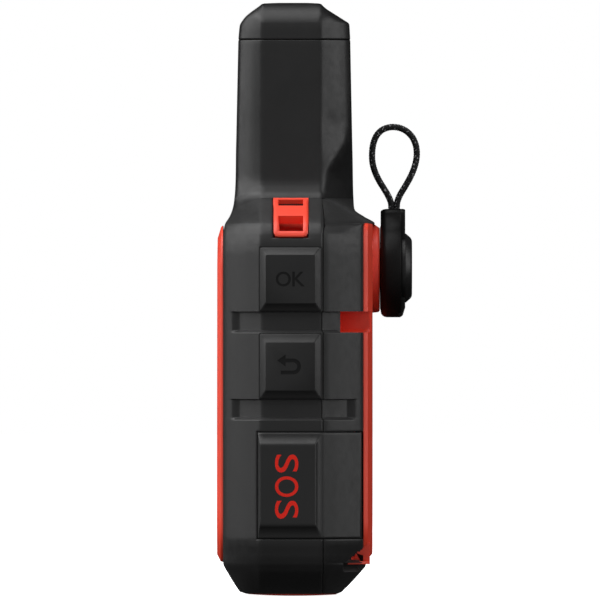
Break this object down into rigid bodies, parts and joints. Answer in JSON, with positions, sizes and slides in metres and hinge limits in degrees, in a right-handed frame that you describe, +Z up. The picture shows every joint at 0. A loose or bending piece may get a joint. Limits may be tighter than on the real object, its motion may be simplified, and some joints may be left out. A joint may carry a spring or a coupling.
{
  "type": "handheld gps unit",
  "caption": "Pocket satellite GPS communicator with stub antenna, rubber-clad two-part case, side keys, hinged side covers and a turning tether puck on the back.",
  "frame": {"origin": "on the flat foot that the unit stands on, midway between its sides", "axes": "+Z up along the antenna, -Y out of the display, +Y out of the back, +X out of the side with the SOS cover"},
  "size_m": [0.0516, 0.034, 0.099],
  "materials": {
    "red_plastic": "fine moulded texture",
    "red_rubber": "satin",
    "black_rubber": "soft-touch, fine grain",
    "seal_rubber": "smooth",
    "black_plastic": "fine moulded texture",
    "cover_glass": "polished",
    "display": "transflective film",
    "circuit_board": "solder mask",
    "shield_metal": "tinned sheet",
    "ferrite": "sintered",
    "battery_wrap": "shrink wrap",
    "foam": "open cell",
    "antenna_former": "sintered",
    "copper": "plated",
    "coax_jacket": "smooth",
    "screw_steel": "blackened",
    "tether_plastic": "fine moulded texture",
    "braided_cord": "braided"
  },
  "bodies": {
    "housing": {"front_shell": "red_plastic", "front_bumper": "black_rubber", "back_shell": "red_plastic", "rear_bumper": "black_rubber", "housing_seal": "seal_rubber", "lanyard_anchor": "red_plastic", "display_window": "cover_glass", "window_mask": "black_plastic", "display_panel": "display", "display_carrier": "black_plastic", "main_board": "circuit_board", "modem_module": "shield_metal", "processor_shield": "shield_metal", "gnss_module": "shield_metal", "power_inductor": "ferrite", "buzzer": "black_plastic", "usb_socket": "shield_metal", "battery_pack": "battery_wrap", "battery_pad": "foam", "ok_switch": "shield_metal", "back_switch": "shield_metal", "sos_switch": "shield_metal", "up_switch": "shield_metal", "down_switch": "shield_metal", "power_switch": "shield_metal", "right_switch_board": "circuit_board", "left_switch_board": "circuit_board", "antenna_radome": "black_plastic", "antenna_cap": "black_plastic", "antenna_core": "antenna_former", "helix_wire_1": "copper", "helix_wire_2": "copper", "helix_wire_3": "copper", "helix_wire_4": "copper", "antenna_board": "circuit_board", "antenna_coax": "coax_jacket", "case_screw_1": "screw_steel", "case_screw_2": "screw_steel", "case_screw_3": "screw_steel", "case_screw_4": "screw_steel"},
    "ok_key_body": {"ok_key": "black_rubber"},
    "back_key_body": {"back_key": "black_rubber"},
    "sos_button_body": {"sos_button": "red_rubber"},
    "up_key_body": {"up_key": "black_rubber"},
    "down_key_body": {"down_key": "black_rubber"},
    "power_key_body": {"power_key": "black_rubber"},
    "sos_cover_body": {"sos_cover": "black_rubber"},
    "usb_cover_body": {"usb_cover": "black_rubber"},
    "tether": {"tether_puck": "tether_plastic", "tether_cap": "tether_plastic", "bayonet_stem": "tether_plastic", "cord_crimp": "screw_steel", "tether_cord": "braided_cord"}
  },
  "joints": [
    {"name": "ok_key_press", "type": "slide", "parent": "housing", "child": "ok_key_body", "axis": [-1, 0, 0], "range_m": [0, 0.0005], "stiffness_N_per_m": 600, "springref_m": -0.0004},
    {"name": "back_key_press", "type": "slide", "parent": "housing", "child": "back_key_body", "axis": [-1, 0, 0], "range_m": [0, 0.0005], "stiffness_N_per_m": 600, "springref_m": -0.0004},
    {"name": "sos_button_press", "type": "slide", "parent": "housing", "child": "sos_button_body", "axis": [-1, 0, 0], "range_m": [0, 0.0005], "stiffness_N_per_m": 600, "springref_m": -0.0004},
    {"name": "up_key_press", "type": "slide", "parent": "housing", "child": "up_key_body", "axis": [1, 0, 0], "range_m": [0, 0.0005], "stiffness_N_per_m": 600, "springref_m": -0.0004},
    {"name": "down_key_press", "type": "slide", "parent": "housing", "child": "down_key_body", "axis": [1, 0, 0], "range_m": [0, 0.0005], "stiffness_N_per_m": 600, "springref_m": -0.0004},
    {"name": "power_key_press", "type": "slide", "parent": "housing", "child": "power_key_body", "axis": [1, 0, 0], "range_m": [0, 0.0005], "stiffness_N_per_m": 600, "springref_m": -0.0004},
    {"name": "sos_cover_hinge", "type": "hinge", "parent": "housing", "child": "sos_cover_body", "pos_m": [0.0201, 0.0106, 0.0185], "axis": [0, 0, 1], "range_deg": [0, 100]},
    {"name": "usb_cover_hinge", "type": "hinge", "parent": "housing", "child": "usb_cover_body", "pos_m": [-0.0201, 0.0106, 0.0146], "axis": [0, 0, 1], "range_deg": [-100, 0]},
    {"name": "tether_turn", "type": "hinge", "parent": "housing", "child": "tether", "pos_m": [0, 0.014, 0.0547], "axis": [0, 1, 0], "range_deg": [0, 90]}
  ]
}
